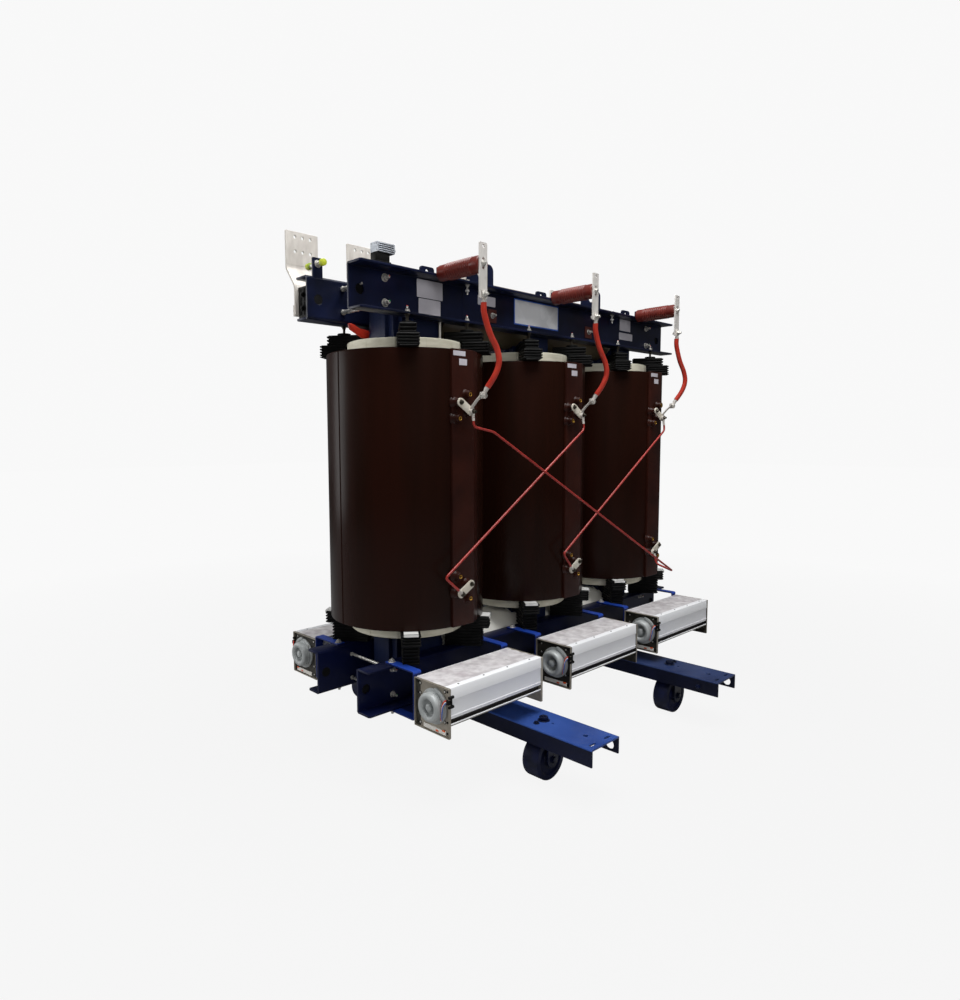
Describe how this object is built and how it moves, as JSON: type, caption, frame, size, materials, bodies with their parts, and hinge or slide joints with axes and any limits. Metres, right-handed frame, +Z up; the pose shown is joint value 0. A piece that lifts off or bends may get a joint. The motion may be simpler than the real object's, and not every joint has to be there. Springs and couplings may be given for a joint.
{
  "type": "dry type transformer",
  "caption": "Open three-phase dry-type cast-resin power transformer on a rolling channel base, with clamped core, terminal bars and cross-flow cooling fans.",
  "frame": {"origin": "on the floor, in the middle of the four rollers", "axes": "+X along the row of coils, +Y to the low-voltage side, +Z up; the high-voltage terminals face -Y"},
  "size_m": [2.0294, 1.596, 2.038],
  "materials": {
    "core_lacquer": "matte",
    "core_blue": "satin",
    "clamp_paint": "satin",
    "rail_paint": "satin",
    "roller_iron": "matte",
    "cast_resin": "gloss",
    "lv_insulation": "matte",
    "insulator_resin": "gloss",
    "tinned_bar": "satin",
    "lead_sheath": "satin",
    "rod_sheath": "satin",
    "fan_aluminium": "satin",
    "fan_blades": "satin",
    "zinc_steel": "satin",
    "sensor_housing": "satin",
    "plate_metal": "satin"
  },
  "bodies": {
    "frame": {"yoke_top": "core_lacquer", "yoke_bottom": "core_lacquer", "limb_left": "core_blue", "limb_middle": "core_blue", "limb_right": "core_blue", "clamp_top_front": "clamp_paint", "clamp_top_rear": "clamp_paint", "clamp_bottom_front": "clamp_paint", "clamp_bottom_rear": "clamp_paint", "base_rail_left": "rail_paint", "base_rail_right": "rail_paint", "hv_coil_1": "cast_resin", "hv_coil_2": "cast_resin", "hv_coil_3": "cast_resin", "lv_coil_1": "lv_insulation", "lv_coil_2": "lv_insulation", "lv_coil_3": "lv_insulation", "post_insulator_1": "insulator_resin", "post_insulator_2": "insulator_resin", "post_insulator_3": "insulator_resin", "hv_bar_1": "tinned_bar", "hv_bar_2": "tinned_bar", "hv_bar_3": "tinned_bar", "hv_lead_1": "lead_sheath", "hv_lead_2": "lead_sheath", "hv_lead_3": "lead_sheath", "delta_rod_1": "rod_sheath", "delta_rod_2": "rod_sheath", "delta_rod_3": "rod_sheath", "lv_bar_n": "tinned_bar", "lv_bar_a": "tinned_bar", "lv_bar_b": "tinned_bar", "lv_bar_c": "tinned_bar", "fan_housing_front_1": "fan_aluminium", "fan_housing_front_2": "fan_aluminium", "fan_housing_front_3": "fan_aluminium", "fan_housing_rear_1": "fan_aluminium", "fan_housing_rear_2": "fan_aluminium", "fan_housing_rear_3": "fan_aluminium", "tie_rod_top_left_upper": "zinc_steel", "tie_rod_top_left_lower": "zinc_steel", "tie_rod_top_right_upper": "zinc_steel", "tie_rod_top_right_lower": "zinc_steel", "tie_rod_bottom_left_upper": "zinc_steel", "tie_rod_bottom_left_lower": "zinc_steel", "tie_rod_bottom_right_upper": "zinc_steel", "tie_rod_bottom_right_lower": "zinc_steel", "sensor_box": "sensor_housing", "nameplate": "plate_metal"},
    "roller_front_left": {"roller_front_left": "roller_iron"},
    "roller_rear_left": {"roller_rear_left": "roller_iron"},
    "roller_front_right": {"roller_front_right": "roller_iron"},
    "roller_rear_right": {"roller_rear_right": "roller_iron"},
    "fan_impeller_front_1": {"fan_impeller_front_1": "fan_blades"},
    "fan_impeller_front_2": {"fan_impeller_front_2": "fan_blades"},
    "fan_impeller_front_3": {"fan_impeller_front_3": "fan_blades"},
    "fan_impeller_rear_1": {"fan_impeller_rear_1": "fan_blades"},
    "fan_impeller_rear_2": {"fan_impeller_rear_2": "fan_blades"},
    "fan_impeller_rear_3": {"fan_impeller_rear_3": "fan_blades"}
  },
  "joints": [
    {"name": "roller_front_left_spin", "type": "hinge", "parent": "frame", "child": "roller_front_left", "pos_m": [-0.457, -0.53, 0.08], "axis": [0, 1, 0], "continuous": true},
    {"name": "roller_rear_left_spin", "type": "hinge", "parent": "frame", "child": "roller_rear_left", "pos_m": [-0.457, 0.53, 0.08], "axis": [0, 1, 0], "continuous": true},
    {"name": "roller_front_right_spin", "type": "hinge", "parent": "frame", "child": "roller_front_right", "pos_m": [0.457, -0.53, 0.08], "axis": [0, 1, 0], "continuous": true},
    {"name": "roller_rear_right_spin", "type": "hinge", "parent": "frame", "child": "roller_rear_right", "pos_m": [0.457, 0.53, 0.08], "axis": [0, 1, 0], "continuous": true},
    {"name": "fan_impeller_front_1_spin", "type": "hinge", "parent": "frame", "child": "fan_impeller_front_1", "pos_m": [-0.64915, -0.405, 0.352], "axis": [1, 0, 0], "continuous": true},
    {"name": "fan_impeller_front_2_spin", "type": "hinge", "parent": "frame", "child": "fan_impeller_front_2", "pos_m": [0.01085, -0.405, 0.352], "axis": [1, 0, 0], "continuous": true},
    {"name": "fan_impeller_front_3_spin", "type": "hinge", "parent": "frame", "child": "fan_impeller_front_3", "pos_m": [0.67085, -0.405, 0.352], "axis": [1, 0, 0], "continuous": true},
    {"name": "fan_impeller_rear_1_spin", "type": "hinge", "parent": "frame", "child": "fan_impeller_rear_1", "pos_m": [-0.64915, 0.405, 0.352], "axis": [1, 0, 0], "continuous": true},
    {"name": "fan_impeller_rear_2_spin", "type": "hinge", "parent": "frame", "child": "fan_impeller_rear_2", "pos_m": [0.01085, 0.405, 0.352], "axis": [1, 0, 0], "continuous": true},
    {"name": "fan_impeller_rear_3_spin", "type": "hinge", "parent": "frame", "child": "fan_impeller_rear_3", "pos_m": [0.67085, 0.405, 0.352], "axis": [1, 0, 0], "continuous": true}
  ]
}
